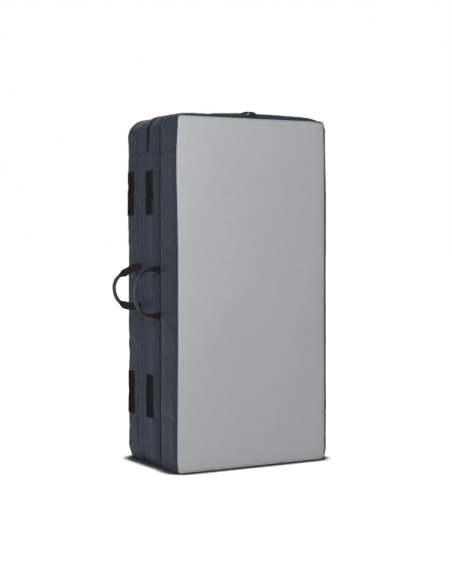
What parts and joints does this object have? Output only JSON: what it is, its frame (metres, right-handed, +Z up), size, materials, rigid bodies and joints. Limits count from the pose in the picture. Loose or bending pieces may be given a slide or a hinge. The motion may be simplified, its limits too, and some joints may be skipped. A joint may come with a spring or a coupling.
{
  "type": "bouldering crash pad",
  "caption": "Folding bouldering crash pad, closed and standing on end: foam-filled fabric panels joined by fabric hinges, with side handles, a top strap and a rear shoulder harness.",
  "frame": {"origin": "middle of the middle panel's lower edge, on the ground the pad stands on", "axes": "+Z up along the panels' height, -Y out of the grey front face, -X to the side with the handles, +Y out of the rear face with the harness"},
  "size_m": [0.6689, 0.3928, 1.1432],
  "materials": {
    "grey_nylon": "matte",
    "navy_nylon": "matte",
    "black_webbing": "matte",
    "hook_and_loop": "matte",
    "navy_wrap": "matte",
    "black_plastic": "satin",
    "firm_foam": "matte",
    "soft_foam": "matte",
    "zip_coil": "satin",
    "dark_metal": "satin"
  },
  "bodies": {
    "middle_panel": {"middle_panel_band": "navy_nylon", "middle_panel_front_face": "navy_nylon", "middle_panel_rear_face": "navy_nylon", "middle_panel_front_foam": "firm_foam", "middle_panel_core_foam": "soft_foam", "middle_panel_rear_foam": "firm_foam", "middle_panel_strip_left_lower": "hook_and_loop", "middle_panel_strip_left_upper": "hook_and_loop", "middle_panel_strip_right_lower": "hook_and_loop", "middle_panel_strip_right_upper": "hook_and_loop", "left_hinge_middle_leaf": "navy_nylon", "right_hinge_middle_leaf": "navy_nylon", "zip_tape": "zip_coil"},
    "rear_panel": {"rear_panel_band": "navy_nylon", "rear_panel_front_face": "navy_nylon", "rear_panel_rear_face": "navy_nylon", "rear_panel_front_foam": "firm_foam", "rear_panel_core_foam": "soft_foam", "rear_panel_rear_foam": "firm_foam", "rear_panel_strip_left_lower": "hook_and_loop", "rear_panel_strip_left_upper": "hook_and_loop", "left_hinge_rear_leaf": "navy_nylon", "harness_yoke": "navy_nylon", "shoulder_pad_left": "navy_wrap", "shoulder_pad_right": "navy_wrap", "ladder_lock_left": "black_plastic", "ladder_lock_right": "black_plastic", "shoulder_webbing_left": "black_webbing", "shoulder_webbing_right": "black_webbing", "waist_belt_left": "black_webbing", "waist_belt_right": "black_webbing", "waist_buckle_socket": "black_plastic", "closure_rear_strap": "black_webbing"},
    "front_panel": {"front_panel_band": "navy_nylon", "front_panel_front_face": "grey_nylon", "front_panel_rear_face": "navy_nylon", "front_panel_front_foam": "firm_foam", "front_panel_core_foam": "soft_foam", "front_panel_rear_foam": "firm_foam", "front_panel_strip_right_lower": "hook_and_loop", "front_panel_strip_right_upper": "hook_and_loop", "right_hinge_front_leaf": "navy_nylon", "closure_front_strap": "black_webbing", "closure_buckle_socket": "black_plastic"},
    "rear_handle": {"rear_handle_webbing": "black_webbing", "rear_handle_grip": "navy_wrap"},
    "front_handle": {"front_handle_webbing": "black_webbing", "front_handle_grip": "navy_wrap"},
    "closure_plug": {"closure_buckle_plug": "black_plastic"},
    "waist_plug": {"waist_buckle_plug": "black_plastic"},
    "slider": {"zip_slider": "dark_metal"},
    "pull": {"zip_pull": "black_plastic"}
  },
  "joints": [
    {"name": "fold_left", "type": "hinge", "parent": "middle_panel", "child": "rear_panel", "pos_m": [-0.285, 0.0635, 0.56], "axis": [0, 0, 1], "range_deg": [0, 180]},
    {"name": "fold_right", "type": "hinge", "parent": "middle_panel", "child": "front_panel", "pos_m": [0.285, -0.0635, 0.56], "axis": [0, 0, 1], "range_deg": [0, 180]},
    {"name": "rear_handle_swing", "type": "hinge", "parent": "middle_panel", "child": "rear_handle", "pos_m": [-0.285, 0.0635, 0.581], "axis": [0, 0, 1], "range_deg": [0, 90]},
    {"name": "front_handle_swing", "type": "hinge", "parent": "middle_panel", "child": "front_handle", "pos_m": [-0.2761, -0.0635, 0.566], "axis": [0, 0, 1], "range_deg": [-70, 60]},
    {"name": "closure_release", "type": "slide", "parent": "rear_panel", "child": "closure_plug", "axis": [0, 1, 0], "range_m": [0, 0.03]},
    {"name": "waist_release", "type": "slide", "parent": "rear_panel", "child": "waist_plug", "axis": [1, 0, 0], "range_m": [0, 0.03]},
    {"name": "zip_slide", "type": "slide", "parent": "middle_panel", "child": "slider", "axis": [-1, 0, 0], "range_m": [0, 0.13]},
    {"name": "zip_pull_flip", "type": "hinge", "parent": "slider", "child": "pull", "pos_m": [0.19, 0.014, 1.1378], "axis": [0, -1, 0], "range_deg": [0, 150]}
  ],
  "couplings": [
    {"joint": "rear_handle_swing", "follows": "fold_left", "ratio": 0.5}
  ]
}
